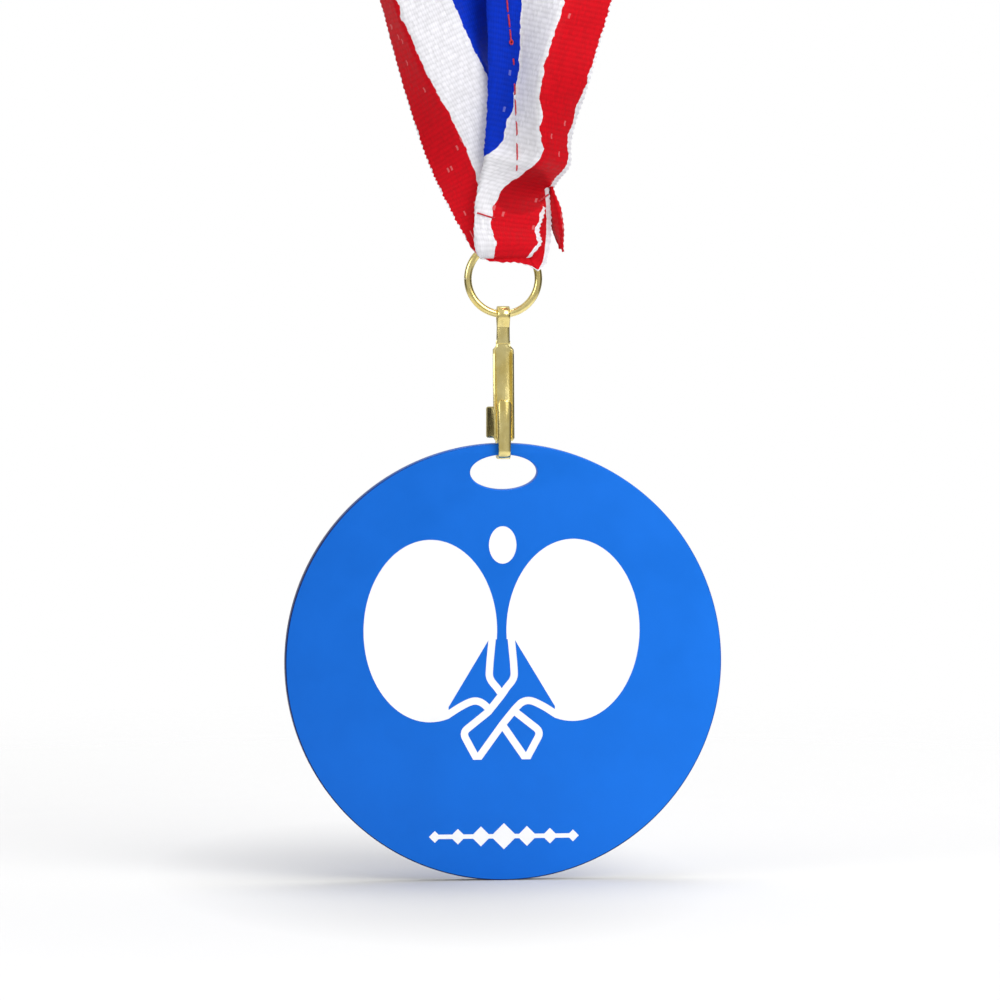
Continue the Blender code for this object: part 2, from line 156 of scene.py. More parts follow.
def makeFloor():
    # a pale floor that clears with distance, with its own glow dimmed in an oval under the disc as a painted
    # contact shadow
    bpy.ops.mesh.primitive_grid_add(x_subdivisions=4, y_subdivisions=4, size=studio["floorSize"])
    floor = bpy.context.active_object
    floor.name = "floor"
    floor.data.transform(Matrix.Translation((0, 0, cadBox[0].z)))
    paint, tree, shader = newMaterial("paleFloor")
    place = objectPlace(tree)
    reach = addNode(tree, "VectorMath", operation="LENGTH")
    tree.links.new(place, reach.inputs[0])
    clear = rangeNode(tree, reach.outputs["Value"], *studio["floorClear"], 1.0, 0.0)
    tree.links.new(clear, shader.inputs["Alpha"])
    shadowOval = addNode(tree, "VectorMath", operation="MULTIPLY_ADD")
    tree.links.new(place, shadowOval.inputs[0])
    shadowOval.inputs[1].default_value = studio["shadeStretch"]
    shadowOval.inputs[2].default_value = studio["shadeShift"]
    away = addNode(tree, "VectorMath", operation="LENGTH")
    tree.links.new(shadowOval.outputs[0], away.inputs[0])
    glow = rangeNode(tree, away.outputs["Value"], 0.0, studio["shadeReach"], 0.0, studio["floorGlow"])
    tree.links.new(glow, shader.inputs["Emission Strength"])
    setInput(shader, "Base Color", (studio["floorGrey"],) * 3 + (1,))
    setInput(shader, "Emission Color", (1, 1, 1, 1))
    setInput(shader, "Roughness", 0.9)
    setInput(shader, "Specular IOR Level", 0.0)
    floor.data.materials.append(paint)


# shader helpers and shared effects


def addNode(tree, kind, **values):
    node = tree.nodes.new("ShaderNode" + kind)
    for name, value in values.items():
        setattr(node, name, value)
    return node


def setInput(node, name, value):
    node.inputs[name].default_value = value


def mathNode(tree, operation, first, second=None, third=None):
    node = addNode(tree, "Math", operation=operation)
    for slot, value in zip(node.inputs, (first, second, third)):
        if isinstance(value, (int, float)):
            slot.default_value = value
        elif value is not None:
            tree.links.new(value, slot)
    return node.outputs[0]


def mixColour(tree, factor, first, second):
    node = addNode(tree, "Mix", data_type="RGBA")
    for slot, value in ((node.inputs["Factor"], factor), (node.inputs[6], first), (node.inputs[7], second)):
        if isinstance(value, bpy.types.NodeSocket):
            tree.links.new(value, slot)
        else:
            slot.default_value = value
    return node.outputs[2]


def rangeNode(tree, value, fromLow, fromHigh, toLow, toHigh):
    node = addNode(tree, "MapRange")
    tree.links.new(value, node.inputs["Value"])
    for name, number in zip(("From Min", "From Max", "To Min", "To Max"), (fromLow, fromHigh, toLow, toHigh)):
        setInput(node, name, number)
    return node.outputs["Result"]


def bumpNode(tree, height, strength, distance):
    node = addNode(tree, "Bump")
    setInput(node, "Strength", strength)
    setInput(node, "Distance", distance)
    tree.links.new(height, node.inputs["Height"])
    return node.outputs["Normal"]


def newGroup(name, inputs, outputs):
    group = bpy.data.node_groups.new(name, "ShaderNodeTree")
    for label, kind, value in inputs:
        socket = group.interface.new_socket(label, in_out="INPUT", socket_type=kind)
        if value is not None:
            socket.default_value = value
    for label, kind in outputs:
        group.interface.new_socket(label, in_out="OUTPUT", socket_type=kind)
    return group, group.nodes.new("NodeGroupInput").outputs, group.nodes.new("NodeGroupOutput").inputs


def useGroup(tree, group, **values):
    node = tree.nodes.new("ShaderNodeGroup")
    node.node_tree = group
    for name, value in values.items():
        slot = node.inputs[name[0].upper() + name[1:]]
        if isinstance(value, bpy.types.NodeSocket):
            tree.links.new(value, slot)
        else:
            slot.default_value = value
    return node.outputs


def newMaterial(name):
    material = bpy.data.materials.new(name)
    material.use_nodes = True
    return material, material.node_tree, material.node_tree.nodes["Principled BSDF"]


def objectPlace(tree):
    return addNode(tree, "TexCoord").outputs["Object"]


def makeHandlingGroup():
    # faint rubs and smears that handling leaves: a mask that varies and a height for fine grain
    group, given, made = newGroup(
        "handlingMarks",
        (
            ("Vector", "NodeSocketVector", None),
            ("Scale", "NodeSocketFloat", 200.0),
            ("Stretch", "NodeSocketFloat", 6.0),
        ),
        (("Smear", "NodeSocketFloat"), ("Grain", "NodeSocketFloat")),
    )
    smear = addNode(group, "TexNoise")
    group.links.new(given["Vector"], smear.inputs["Vector"])
    group.links.new(given["Scale"], smear.inputs["Scale"])
    setInput(smear, "Detail", 3.0)
    setInput(smear, "Roughness", 0.6)
    across = addNode(group, "VectorMath", operation="MULTIPLY")
    pull = addNode(group, "CombineXYZ")
    setInput(pull, "X", 1.0)
    setInput(pull, "Y", 1.0)
    group.links.new(given["Stretch"], pull.inputs["Z"])
    group.links.new(given["Vector"], across.inputs[0])
    group.links.new(pull.outputs[0], across.inputs[1])
    grain = addNode(group, "TexNoise")
    group.links.new(across.outputs[0], grain.inputs["Vector"])
    group.links.new(mathNode(group, "MULTIPLY", given["Scale"], 12.0), grain.inputs["Scale"])
    setInput(grain, "Detail", 2.0)
    group.links.new(rangeNode(group, smear.outputs["Fac"], 0.35, 0.65, 0.0, 1.0), made["Smear"])
    group.links.new(grain.outputs["Fac"], made["Grain"])
    return group


handling = makeHandlingGroup()
scene.view_settings.view_transform = "Standard"
makeCamera()
makeWorld()
for lampName in ("key", "fill", "top"):
    makeLamp(lampName)
makeFloor()
print("studio ready")


# metal and print finishes

discPaint = {
    # the face runs from deep on the left to light on the right: painted light, as if lit from the right
    "light": (0.003, 0.178, 0.80, 1),
    "deep": (0.001, 0.128, 0.61, 1),
    "roughness": (0.36, 0.44),
    "metal": 0.25,
    "shine": 0.25,
    "marks": {"scale": 90.0, "stretch": 1.0},
    "span": 0.035,
    "smear": 0.18,
    "grain": 0.12,
    # painted shade round the rim: dark navy, darkest at the lower left, fading towards the upper right
    "rimShade": (0.0005, 0.012, 0.11, 1),
    "rimShadeStart": 0.03482,
    "rimShadeFade": (-0.01, 0.04),
    "rimShadeLeast": 0.25,
}
brassFinish = {
    "pale": (0.96, 0.82, 0.36, 1),
    "deep": (0.80, 0.64, 0.22, 1),
    "roughness": (0.16, 0.28),
    "marks": {"scale": 260.0, "stretch": 0.12},
    "grainSpan": (0.3, 0.7),
    "grain": 0.000006,
}
printFinish = {
    "white": (0.93, 0.93, 0.93, 1),
    "shade": (0.90, 0.90, 0.90, 1),
    "roughness": (0.40, 0.52),
    "marks": {"scale": 160.0, "stretch": 1.0},
    "grain": 0.10,
}
grainHeight = 0.00002


def makeDiscPaint():
    material, tree, shader = newMaterial("anodisedBlue")
    place = objectPlace(tree)
    split = addNode(tree, "SeparateXYZ")
    tree.links.new(place, split.inputs[0])
    marks = useGroup(tree, handling, vector=place, **discPaint["marks"])
    # painted light: the face is lighter towards the right, as if lit from there, with the handling smears
    # mixed in
    span = discPaint["span"]
    sideLight = rangeNode(tree, split.outputs["X"], -span, span, 0.0, 1.0)
    smear = discPaint["smear"]
    sideLight = mathNode(tree, "MULTIPLY", sideLight, 1 - smear)
    sideLightAndSmear = mathNode(tree, "MULTIPLY_ADD", marks["Smear"], smear, sideLight)
    face = mixColour(tree, sideLightAndSmear, discPaint["deep"], discPaint["light"])
    # painted shade: the rim goes dark navy, darkest at the lower left and fading towards the upper right
    flat = addNode(tree, "CombineXYZ")
    tree.links.new(split.outputs["X"], flat.inputs["X"])
    tree.links.new(split.outputs["Z"], flat.inputs["Z"])
    reach = addNode(tree, "VectorMath", operation="LENGTH")
    tree.links.new(flat.outputs[0], reach.inputs[0])
    rimShadeMask = mathNode(tree, "GREATER_THAN", reach.outputs["Value"], discPaint["rimShadeStart"])
    upRight = mathNode(tree, "ADD", split.outputs["X"], split.outputs["Z"])
    rimShadeFalloff = rangeNode(tree, upRight, *discPaint["rimShadeFade"], 1.0, discPaint["rimShadeLeast"])
    rimShadeMask = mathNode(tree, "MULTIPLY", rimShadeMask, rimShadeFalloff)
    tree.links.new(mixColour(tree, rimShadeMask, face, discPaint["rimShade"]), shader.inputs["Base Color"])
    tree.links.new(rangeNode(tree, marks["Smear"], 0, 1, *discPaint["roughness"]), shader.inputs["Roughness"])
    tree.links.new(bumpNode(tree, marks["Grain"], discPaint["grain"], grainHeight), shader.inputs["Normal"])
    setInput(shader, "Metallic", discPaint["metal"])
    setInput(shader, "Specular IOR Level", discPaint["shine"])
    return material


def makeBrass(name, crown):
    # crown is how far the normal leans outward for each metre from the middle, as on pressed strip
    material, tree, shader = newMaterial(name)
    place = objectPlace(tree)
    marks = useGroup(tree, handling, vector=place, **brassFinish["marks"])
    colour = mixColour(tree, marks["Smear"], brassFinish["pale"], brassFinish["deep"])
    tree.links.new(colour, shader.inputs["Base Color"])
    roughness = rangeNode(tree, marks["Grain"], *brassFinish["grainSpan"], *brassFinish["roughness"])
    tree.links.new(roughness, shader.inputs["Roughness"])
    split = addNode(tree, "SeparateXYZ")
    tree.links.new(place, split.inputs[0])
    squared = mathNode(tree, "MULTIPLY", split.outputs["X"], split.outputs["X"])
    bulge = mathNode(tree, "MULTIPLY", squared, -crown / 2)
    height = mathNode(tree, "MULTIPLY_ADD", marks["Grain"], brassFinish["grain"], bulge)
    tree.links.new(bumpNode(tree, height, 1.0, 1.0), shader.inputs["Normal"])
    setInput(shader, "Metallic", 1.0)
    return material


def makePrint():
    material, tree, shader = newMaterial("whitePrint")
    marks = useGroup(tree, handling, vector=objectPlace(tree), **printFinish["marks"])
    colour = mixColour(tree, marks["Smear"], printFinish["white"], printFinish["shade"])
    tree.links.new(colour, shader.inputs["Base Color"])
    roughness = rangeNode(tree, marks["Smear"], 0, 1, *printFinish["roughness"])
    tree.links.new(roughness, shader.inputs["Roughness"])
    tree.links.new(bumpNode(tree, marks["Grain"], printFinish["grain"], grainHeight), shader.inputs["Normal"])
    return material


discBlue = makeDiscPaint()
brass = makeBrass("brass", crown=0.0)
pressedBrass = makeBrass("pressedBrass", crown=380.0)
whitePrint = makePrint()


# ribbon and thread finishes

weave = {
    "red": (0.66, 0.003, 0.011, 1),
    "white": (0.86, 0.85, 0.89, 1),
    "blue": (0.0, 0.030, 0.52, 1),
    "firstBorder": 1 / 3,
    "secondBorder": 2 / 3,
    "serration": 0.007,
    "scallop": 0.018,
    # how far the painted shade in the flattened spot darkens the red
    "pressedAndShaded": 0.74,
    "yarns": 64.0,
    "depth": 0.00010,
    "tone": 0.82,
    # how much painted shade the rib grooves get
    "ribGrooveShade": 0.16,
    "yarnTone": 0.12,
    "glintAbove": 0.992,
    "glint": 0.14,
    "glintColour": (0.9, 0.9, 0.9, 1),
    "roughness": (0.50, 0.72),
    "bump": 0.35,
    "sheen": (0.01, 0.4),
    "shine": 0.10,
}
thread = {
    "deep": (0.42, 0.005, 0.015, 1),
    "bright": (0.66, 0.01, 0.03, 1),
    "twist": 900.0,
    "wobble": 0.6,
    "roughness": (0.5, 0.7),
    "bump": 0.5,
    "depth": 0.00008,
    "sheen": 0.2,
}


def makeYarnGroup():
    # yarn across the cloth: each rib is a row of short bright threads with dark gaps between; where the cloth
    # uses the height for its colour, the dark gaps are painted shade
    group, given, made = newGroup(
        "ribYarn",
        (("Vector", "NodeSocketVector", None), ("Yarns", "NodeSocketFloat", 60.0)),
        (
            ("Tone", "NodeSocketFloat"),
            ("Height", "NodeSocketFloat"),
            ("Jitter", "NodeSocketFloat"),
            ("Wander", "NodeSocketFloat"),
        ),
    )
    split = addNode(group, "SeparateXYZ")
    group.links.new(given["Vector"], split.inputs[0])
    across, along = split.outputs["X"], split.outputs["Y"]
    rib = mathNode(group, "FLOOR", along)
    ribNoise = addNode(group, "TexWhiteNoise", noise_dimensions="1D")
    group.links.new(rib, ribNoise.inputs["W"])
    yarnAt = mathNode(group, "MULTIPLY", across, given["Yarns"])
    cell = addNode(group, "CombineXYZ")
    offset = mathNode(group, "ADD", yarnAt, ribNoise.outputs["Value"])
    group.links.new(mathNode(group, "FLOOR", offset), cell.inputs["X"])
    group.links.new(rib, cell.inputs["Y"])
    cellNoise = addNode(group, "TexWhiteNoise", noise_dimensions="2D")
    group.links.new(cell.outputs[0], cellNoise.inputs["Vector"])
    yarnWave = mathNode(group, "SINE", mathNode(group, "MULTIPLY", yarnAt, 2 * math.pi))
    inRib = mathNode(group, "SUBTRACT", along, 0.5)
    ribWave = mathNode(group, "COSINE", mathNode(group, "MULTIPLY", inRib, 2 * math.pi))
    height = mathNode(group, "ADD", mathNode(group, "MULTIPLY", yarnWave, 0.35), ribWave)
    height = mathNode(group, "MULTIPLY_ADD", cellNoise.outputs["Value"], 0.5, height)
    group.links.new(cellNoise.outputs["Value"], made["Tone"])
    group.links.new(rangeNode(group, height, -1.4, 1.9, 0.0, 1.0), made["Height"])
    group.links.new(ribNoise.outputs["Value"], made["Jitter"])
    wander = addNode(group, "TexNoise", noise_dimensions="1D")
    group.links.new(along, wander.inputs["W"])
    setInput(wander, "Scale", 0.30)
    setInput(wander, "Detail", 1.0)
    group.links.new(wander.outputs["Fac"], made["Wander"])
    return group


ribYarn = makeYarnGroup()


def makeRibbonCloth():
    material, tree, shader = newMaterial("stripedRibbon")
    flat = addNode(tree, "UVMap", uv_map="cloth").outputs["UV"]
    yarn = useGroup(tree, ribYarn, vector=flat, yarns=weave["yarns"])
    split = addNode(tree, "SeparateXYZ")
    tree.links.new(flat, split.inputs[0])
    trim = addNode(tree, "Attribute", attribute_name="trim").outputs["Fac"]
    pressedAndShaded = addNode(tree, "Attribute", attribute_name="pressedAndShaded").outputs["Fac"]
    shift = mathNode(tree, "MULTIPLY", mathNode(tree, "SUBTRACT", yarn["Jitter"], 0.5), weave["serration"])
    sway = mathNode(tree, "MULTIPLY", mathNode(tree, "SUBTRACT", yarn["Wander"], 0.5), weave["scallop"] * 2)
    edge = mathNode(tree, "ADD", split.outputs["X"], mathNode(tree, "ADD", shift, sway))
    inWhite = mathNode(tree, "GREATER_THAN", edge, weave["firstBorder"])
    inRed = mathNode(tree, "GREATER_THAN", edge, weave["secondBorder"])
    inEdge = mathNode(tree, "GREATER_THAN", mathNode(tree, "ADD", edge, trim), 1.0)
    colour = mixColour(tree, inWhite, weave["blue"], weave["white"])
    colour = mixColour(tree, inRed, colour, weave["red"])
    colour = mixColour(tree, inEdge, colour, weave["white"])
    # painted shade: the colour darkens in the grooves between the ribs, following the rib height
    ribGrooveShade = mathNode(tree, "MULTIPLY_ADD", yarn["Height"], weave["ribGrooveShade"], weave["tone"])
    tone = mathNode(tree, "MULTIPLY_ADD", yarn["Tone"], weave["yarnTone"], ribGrooveShade)
    # painted shade: the red in the flattened spot is darkened
    pressedAndShaded = mathNode(tree, "MULTIPLY", pressedAndShaded, inRed)
    tone = mathNode(tree, "MULTIPLY", tone, rangeNode(tree, pressedAndShaded, 0.0, 1.0, 1.0, weave["pressedAndShaded"]))
    shade = addNode(tree, "VectorMath", operation="SCALE")
    tree.links.new(colour, shade.inputs[0])
    tree.links.new(tone, shade.inputs["Scale"])
    caught = mathNode(tree, "GREATER_THAN", yarn["Tone"], weave["glintAbove"])
    glint = mathNode(tree, "MULTIPLY", caught, weave["glint"])
    bright = mixColour(tree, glint, shade.outputs[0], weave["glintColour"])
    tree.links.new(bright, shader.inputs["Base Color"])
    tree.links.new(rangeNode(tree, yarn["Tone"], 0.0, 1.0, *weave["roughness"]), shader.inputs["Roughness"])
    tree.links.new(bumpNode(tree, yarn["Height"], weave["bump"], weave["depth"]), shader.inputs["Normal"])
    setInput(shader, "Sheen Weight", weave["sheen"][0])
    setInput(shader, "Sheen Roughness", weave["sheen"][1])
    setInput(shader, "Specular IOR Level", weave["shine"])
    return material


def makeThreadCloth():
    material, tree, shader = newMaterial("redThread")
    twist = addNode(tree, "TexWave", wave_type="BANDS", bands_direction="DIAGONAL")
    tree.links.new(objectPlace(tree), twist.inputs["Vector"])
    setInput(twist, "Scale", thread["twist"])
    setInput(twist, "Distortion", thread["wobble"])
    # painted shade: the thread is darker along the grooves of its twist, where the bump dips
    colour = mixColour(tree, twist.outputs["Fac"], thread["deep"], thread["bright"])
    tree.links.new(colour, shader.inputs["Base Color"])
    roughness = rangeNode(tree, twist.outputs["Fac"], 0, 1, *thread["roughness"])
    tree.links.new(roughness, shader.inputs["Roughness"])
    normal = bumpNode(tree, twist.outputs["Fac"], thread["bump"], thread["depth"])
    tree.links.new(normal, shader.inputs["Normal"])
    setInput(shader, "Sheen Weight", thread["sheen"])
    return material


ribbonCloth = makeRibbonCloth()
threadCloth = makeThreadCloth()
print("finishes ready")


# mesh helpers


def addPiece(name, points, faces, material):
    mesh = bpy.data.meshes.new(name)
    mesh.from_pydata([tuple(point) for point in points], [], faces)
    mesh.update()
    piece = bpy.data.objects.new(name, mesh)
    scene.collection.objects.link(piece)
    mesh.materials.append(material)
    return piece


def plainMesh(piece, name=None):
    # the evaluated piece as a plain mesh at the origin, with its modifiers and curve gone
    bpy.context.view_layer.update()
    graph = bpy.context.evaluated_depsgraph_get()
    mesh = bpy.data.meshes.new_from_object(piece.evaluated_get(graph), depsgraph=graph)
    mesh.transform(piece.matrix_world)
    name = name or piece.name
    bpy.data.objects.remove(piece, do_unlink=True)
    mesh.name = name
    plain = bpy.data.objects.new(name, mesh)
    scene.collection.objects.link(plain)
    return plain


def shadeRound(piece, angle=40):
    piece.data.shade_smooth()
    piece.data.set_sharp_from_angle(angle=math.radians(angle))


def catmull(table, places):
    # a smooth curve through the rows of a table, read at fractional row numbers
    table = np.asarray(table, float)
    last = len(table) - 1
    base = np.clip(np.floor(places).astype(int), 0, last - 1)
    t = (places - base)[:, None]
    first = table[np.clip(base - 1, 0, last)]
    a, b = table[base], table[base + 1]
    end = table[np.clip(base + 2, 0, last)]
    bend = 2 * first - 5 * a + 4 * b - end
    twist = 3 * a - first - 3 * b + end
    return 0.5 * (2 * a + (b - first) * t + bend * t**2 + twist * t**3)


def smoothStep(value):
    value = np.clip(value, 0, 1)
    return value * value * (3 - 2 * value)


# ribbon

ribbon = {
    "width": 25.0,
    "thickness": 0.36,
    "rib": 0.84,
    "ribDepth": 0.045,
    "scallop": 0.10,
    "foldWidth": 0.055,
    "creaseWidth": 0.10,
    "tuckLean": 160,
    "tuckShare": 0.70,
    "subColumns": 6,
    "fineColumns": 48,
    "plainColumns": 24,
    "archRadius": 55.0,
    "archHeight": 399.0,
    "pressedAndShadedSpot": (2.5, 75.6, 4.9, 4.2),
}

# Each row is a place along the ribbon: x, y from the middle plane, z, which part of the width that is
# (0 blue edge to 1 red edge), tilt, turn, how much of the width is folded behind, how wide it lies,
# how far the blue, white and red stripes lean back in degrees, and the pale edge's share of the width.
# It runs from the end behind the ring, under the ring's wire, up the front strand, round the neck and
# down the back strand, whose outer edge turns along the bottom of the loop and up its right side.
frontRows = [
    (-3.4, 3.0, 76.0, 0.58, 0, 0, 0.58, 0.80, 0, 0, 0, 0.020),
    (-3.6, 2.8, 71.0, 0.58, 0, 0, 0.58, 0.76, 0, 0, 0, 0.020),
    (-3.4, 2.4, 67.2, 0.57, 0, 0, 0.57, 0.70, 0, 0, 0, 0.020),
    (-3.2, 0.9, 64.9, 0.56, 0, 0, 0.56, 0.64, 0, 0, 0, 0.020),
    (-3.5, -1.2, 64.6, 0.55, 0, 0, 0.55, 0.66, 0, 0, 0, 0.025),
    (-4.0, -2.5, 65.5, 0.55, 0, 0, 0.55, 0.80, 0, 0, 4, 0.036),
    (-4.3, -2.9, 67.4, 0.55, 2, 0, 0.55, 0.92, 0, 0, 8, 0.036),
    (-4.3, -2.8, 70.0, 0.58, 6, 0, 0.58, 0.96, 0, 0, 10, 0.030),
    (-4.1, -2.7, 73.0, 0.572, 9, 0, 0.572, 1.0, 0, 0, 10, 0.020),
    (-3.6, -2.7, 76.4, 0.535, 12, 0, 0.535, 1.0, 0, -8, 24, 0.030),
    (-3.0, -2.7, 79.4, 0.42, 13, 0, 0.42, 1.0, 0, -26, 42, 0.044),
    (-2.6, -2.7, 82.4, 0.28, 13, 0, 0.28, 1.0, 6, -42, 50, 0.046),
    (-2.3, -2.7, 85.8, 0.23, 13, 0, 0.23, 1.0, 6, -56, 52, 0.044),
    (-2.1, -2.7, 90.0, 0.190, 13, 0, 0.190, 1.0, 6, -68, 42, 0.038),
    (-2.0, -2.7, 96.5, 0.155, 13, 0, 0.155, 1.0, 4, -72, 22, 0.022),
    (-2.3, -2.9, 105.7, 0.130, 13, 0, 0.130, 1.0, 0, -50, 26, 0.008),
    (-2.2, -3.4, 117.0, 0.10, 12, 3, 0.10, 1.0, 0, -24, 18, 0.006),
    (1.2, -4.3, 144.3, 0.0, 11, 10, 0.0, 1.0, -6, 0, 8, 0.006),
]
neckRightRows = [
    (10.6, -6.2, 192.1, 0.0, 11, 27, 0.0, 1.0, -7, 0, 6, 0.006),
    (26.5, -9.9, 256.2, 0.0, 10, 55, 0.0, 1.0, -5, 0, 5, 0.006),
    (43.8, -12.3, 320.2, 0.0, 8, 82, 0.0, 1.0, -3, 0, 3, 0.006),
    (53.0, -12.45, 375.0, 0.0, 3, 90, 0.0, 1.0, -2, 0, 2, 0.006),
]
neckLeftRows = [
    (-52.6, 12.4, 352.0, 1.0, -4, 90, 0.0, 1.0, -2, 0, 2, 0.006),
    (-50.6, 11.9, 279.4, 1.0, -8, 112, 0.0, 1.0, -4, 0, 4, 0.006),
    (-46.1, 9.4, 214.0, 1.0, -12, 142, 0.0, 1.0, -8, 0, 10, 0.006),
    (-36.8, 9.2, 161.7, 1.0, -17, 163, 0.0, 1.0, -14, 0, 30, 0.006),
]
backRows = [
    (-25.8, 8.8, 128.6, 1.0, -23, 176, 0.0, 1.0, -20, 0, 64, 0.006),
    (-18.9, 7.6, 105.7, 1.0, -27, 180, 0.0, 1.0, -12, 0, 79, 0.006),
    (-17.0, 7.4, 98.5, 1.0, -27, 180, 0.0, 1.0, -24, 0, 74, 0.006),
    (-14.7, 6.6, 90.0, 1.0, -26, 180, 0.0, 1.0, -62, 2, 63, 0.006),
    (-11.8, 4.6, 80.5, 1.0, -23, 180, 0.0, 0.94, -88, 2, 42, 0.006),
    (-9.2, 2.0, 74.0, 1.0, -18, 180, 0.0, 0.74, -88, 0, 24, 0.006),
    (-6.9, 0.0, 69.3, 1.0, -18, 180, 0.0, 0.52, -60, 0, 10, 0.006),
    (-5.4, -0.9, 66.5, 1.0, -28, 180, 0.0, 0.44, -20, 0, 4, 0.006),
    (-3.9, -1.3, 64.6, 1.0, -50, 180, 0.0, 0.40, 0, 0, 0, 0.006),
    (-1.5, -1.4, 63.9, 1.0, -80, 180, 0.0, 0.38, 0, 0, 0, 0.008),
    (1.8, -1.4, 63.8, 1.0, -96, 180, 0.0, 0.38, 0, 0, 0, 0.010),
    (4.2, -1.4, 63.2, 1.0, -106, 180, 0.0, 0.38, 0, 0, 0, 0.020),
    (5.8, -1.4, 62.5, 1.0, -130, 180, 0.0, 0.38, 0, 0, 0, 0.040),
    (6.9, -1.4, 64.3, 1.0, -158, 180, 0.0, 0.36, 0, 0, 0, 0.070),
    (7.4, -1.3, 66.8, 1.0, -174, 180, 0.0, 0.36, 0, 0, 0, 0.085),
    (7.6, -1.0, 70.0, 1.0, -180, 180, 0.0, 0.36, 0, 0, 0, 0.090),
    (7.5, -0.6, 73.0, 1.0, -182, 180, 0.0, 0.36, 0, 0, 0, 0.080),
    (7.2, -0.2, 76.0, 1.0, -184, 180, 0.0, 0.36, 0, 0, 0, 0.080),
]


def archRows():
    rows = []
    for degrees in range(0, 181, 30):
        angle = math.radians(degrees)
        x = ribbon["archRadius"] * math.cos(angle)
        z = ribbon["archHeight"] + ribbon["archRadius"] * math.sin(angle)
        rows.append((x, 0.0, z, 0.5, 0, 90, 0.0, 1.0, 0, 0, 0, 0.006))
    return rows


def clothGrid(table, places, columns):
    # points of the cloth at these places along it, one line across for each place
    state = catmull(table, places)
    x, y, z, part, tilt, turn, fold, gather, blue, white, red, trim = state.T
    tilt, turn = np.radians(tilt), np.radians(turn)
    wide = np.stack([np.cos(turn) * np.cos(tilt), np.sin(turn), -np.cos(turn) * np.sin(tilt)], 1)
    place = np.stack([x, y, z], 1)
    ahead = np.gradient(place, axis=0)
    ahead /= np.linalg.norm(ahead, axis=1)[:, None]
    behind = np.cross(ahead, wide)
    behind /= np.linalg.norm(behind, axis=1)[:, None]
    fine = ribbon["subColumns"] * columns
    u = np.linspace(0, 1, fine + 1)[None, :]
    fold = np.clip(fold, 0, 1)[:, None]
    soft = ribbon["creaseWidth"]
    lean = blue[:, None] + (white - blue)[:, None] * smoothStep((u - 1 / 3) / soft + 0.5)
    lean = lean + (red - white)[:, None] * smoothStep((u - 2 / 3) / soft + 0.5)
    lean = lean - ribbon["tuckLean"] * smoothStep((fold - u) / ribbon["foldWidth"])
    lean = np.radians(lean)
    # the part folded behind is gathered, so it stays narrower than the part in front
    tuck = np.clip(ribbon["tuckShare"] * (1 - fold) / np.maximum(fold, 0.01), 0.05, 1)
    squeeze = 1 - (1 - tuck) * smoothStep((fold - ribbon["foldWidth"] - u) / 0.03)
    flat = gather[:, None] * squeeze * ribbon["width"] / fine
    reachA = np.cumsum((np.cos(lean) * flat)[:, :-1], 1)
    reachB = np.cumsum((np.sin(lean) * flat)[:, :-1], 1)
    reachA = np.hstack([np.zeros((len(places), 1)), reachA])
    reachB = np.hstack([np.zeros((len(places), 1)), reachB])
    pick = np.clip(part, 0, 1) * fine
    rowsAt = np.arange(len(places))
    low = np.clip(np.floor(pick).astype(int), 0, fine - 1)
    share = pick - low
    zeroA = reachA[rowsAt, low] * (1 - share) + reachA[rowsAt, low + 1] * share
    zeroB = reachB[rowsAt, low] * (1 - share) + reachB[rowsAt, low + 1] * share
    reachA, reachB = reachA - zeroA[:, None], reachB - zeroB[:, None]
    points = place[:, None, :] + reachA[..., None] * wide[:, None, :] + reachB[..., None] * behind[:, None, :]
    normals = np.cos(lean)[..., None] * behind[:, None, :] - np.sin(lean)[..., None] * wide[:, None, :]
    step = ribbon["subColumns"]
    return points[:, ::step], normals[:, ::step], trim


def ribbonTable():
    table = frontRows + neckRightRows + archRows() + neckLeftRows + backRows
    return np.array(table, float), len(frontRows) - 1, len(table) - len(backRows)


def ribPlaces(table):
    # places along the ribbon half a rib apart, measured down its middle
    coarse = np.linspace(0, len(table) - 1, 60 * (len(table) - 1) + 1)
    middle = clothGrid(table, coarse, 16)[0][:, 8]
    run = np.concatenate([[0], np.cumsum(np.linalg.norm(np.diff(middle, axis=0), axis=1))])
    count = int(run[-1] / (ribbon["rib"] / 2))
    return np.interp(np.arange(count + 1) * ribbon["rib"] / 2, run, coarse), run[-1]


def pressedAndShadedShare(points):
    # the spot on the front layer only where the sewing flattened the cloth; there the red is also darkened, a
    # painted shade
    x, z, wide, tall = ribbon["pressedAndShadedSpot"]
    reach = np.hypot((points[..., 0] - x) / wide, (points[..., 2] - z) / tall)
    return smoothStep((1 - reach) / 0.08) * (points[..., 1] < 0.5)


